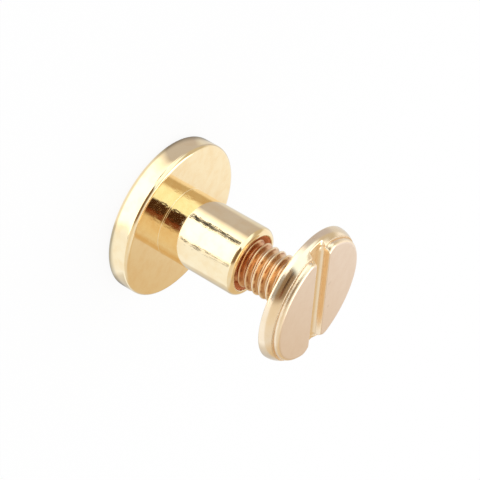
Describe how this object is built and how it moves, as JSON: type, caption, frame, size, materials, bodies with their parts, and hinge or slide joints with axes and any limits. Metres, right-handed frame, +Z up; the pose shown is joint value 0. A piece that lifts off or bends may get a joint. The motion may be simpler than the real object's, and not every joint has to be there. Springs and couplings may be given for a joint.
{
  "type": "chicago screw",
  "caption": "Flat-headed post with a blind tapped barrel and a slotted screw that turns into it, to bind sheets of leather, card or board between their heads.",
  "frame": {"origin": "centre of the outer face of the post's head, on the common axis", "axes": "+Z up the common axis, from the post's head to the screw's head; X along the driver slot"},
  "size_m": [0.01, 0.01, 0.0115],
  "materials": {
    "polished_gilt": "bright plated, mirror polished",
    "satin_gilt": "plated, satin face with bright edges, slightly rosier than the post"
  },
  "bodies": {
    "post": {"post": "polished_gilt"},
    "screw": {"screw": "satin_gilt"}
  },
  "joints": [
    {"name": "screw_travel", "type": "slide", "parent": "post", "child": "screw", "axis": [0, 0, 1], "range_m": [-0.0035, 0.0015]}
  ]
}
